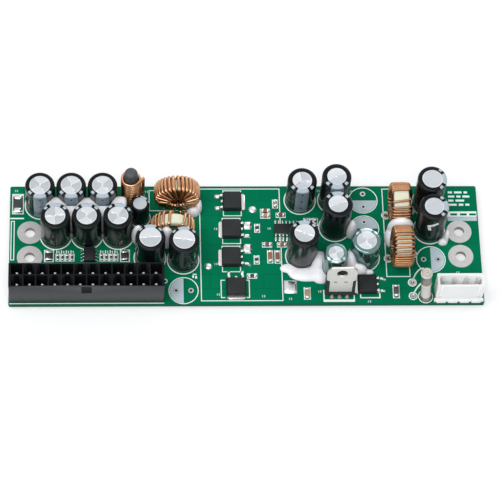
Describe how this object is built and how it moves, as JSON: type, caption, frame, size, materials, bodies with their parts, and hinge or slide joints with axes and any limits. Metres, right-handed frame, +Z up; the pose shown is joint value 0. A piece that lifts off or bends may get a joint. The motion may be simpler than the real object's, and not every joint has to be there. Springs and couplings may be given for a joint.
{
  "type": "dc-dc power supply module",
  "caption": "Long green circuit board that turns one supply voltage into several, with a black output header, a white input header, upright capacitors and wound toroids.",
  "frame": {"origin": "under the centre of the board's outline, on the plane of the lowest solder joints", "axes": "+X along the board towards the input header, +Y from the front edge to the back edge, +Z up"},
  "size_m": [0.16, 0.045, 0.0229],
  "materials": {
    "green_board": "green solder mask over woven glass epoxy, semi-gloss",
    "tinned_copper": "hot-tinned copper, satin",
    "solder": "bright solder",
    "black_nylon": "moulded black nylon, satin",
    "white_nylon": "moulded white nylon, satin",
    "tinned_pin": "tin-plated brass",
    "can_aluminium": "drawn aluminium, satin",
    "black_sleeve": "black shrink film with a pale grey stripe",
    "teal_sleeve": "dark teal shrink film",
    "copper_wire": "enamelled copper wire",
    "core_coating": "pale painted powder core",
    "ferrite": "sintered ferrite, dull grey",
    "plated_tab": "tin-plated copper tab",
    "black_epoxy": "moulded black epoxy",
    "chip_ceramic": "fired ceramic chip bodies, brown, tan and black",
    "fuse_ceramic": "pale ceramic barrel with plated end caps",
    "white_silicone": "white silicone, soft gloss"
  },
  "bodies": {
    "root": {"circuit_board": "green_board", "tinned_pads": "tinned_copper", "solder_joints": "solder", "output_header": "black_nylon", "output_pins": "tinned_pin", "input_header": "white_nylon", "input_pins": "tinned_pin", "rod_core": "ferrite", "rod_winding": "copper_wire", "regulator_tab": "plated_tab", "regulator_body": "black_epoxy", "transistor_bodies": "black_epoxy", "transistor_leadframes": "tinned_copper", "control_chips": "black_epoxy", "chip_bodies": "chip_ceramic", "chip_terminals": "solder", "upright_fuse": "fuse_ceramic", "glue_beads": "white_silicone", "toroid_1_core": "core_coating", "toroid_1_winding": "copper_wire", "toroid_2_core": "core_coating", "toroid_2_winding": "copper_wire", "toroid_3_core": "core_coating", "toroid_3_winding": "copper_wire", "toroid_4_core": "core_coating", "toroid_4_winding": "copper_wire", "capacitor_01": "can_aluminium", "capacitor_02": "can_aluminium", "capacitor_03": "can_aluminium", "capacitor_04": "can_aluminium", "capacitor_05": "can_aluminium", "capacitor_06": "can_aluminium", "capacitor_07": "can_aluminium", "capacitor_08": "can_aluminium", "capacitor_09": "can_aluminium", "capacitor_10": "can_aluminium", "capacitor_11": "can_aluminium", "capacitor_12": "can_aluminium", "capacitor_13": "can_aluminium", "capacitor_14": "can_aluminium", "capacitor_15": "can_aluminium", "capacitor_16": "can_aluminium", "capacitor_17": "can_aluminium", "capacitor_01_sleeve": "black_sleeve", "capacitor_02_sleeve": "black_sleeve", "capacitor_03_sleeve": "black_sleeve", "capacitor_04_sleeve": "black_sleeve", "capacitor_05_sleeve": "black_sleeve", "capacitor_06_sleeve": "black_sleeve", "capacitor_07_sleeve": "black_sleeve", "capacitor_08_sleeve": "black_sleeve", "capacitor_09_sleeve": "black_sleeve", "capacitor_10_sleeve": "black_sleeve", "capacitor_11_sleeve": "black_sleeve", "capacitor_12_sleeve": "black_sleeve", "capacitor_13_sleeve": "black_sleeve", "capacitor_14_sleeve": "teal_sleeve", "capacitor_15_sleeve": "teal_sleeve", "capacitor_16_sleeve": "black_sleeve", "capacitor_17_sleeve": "black_sleeve"}
  },
  "joints": []
}
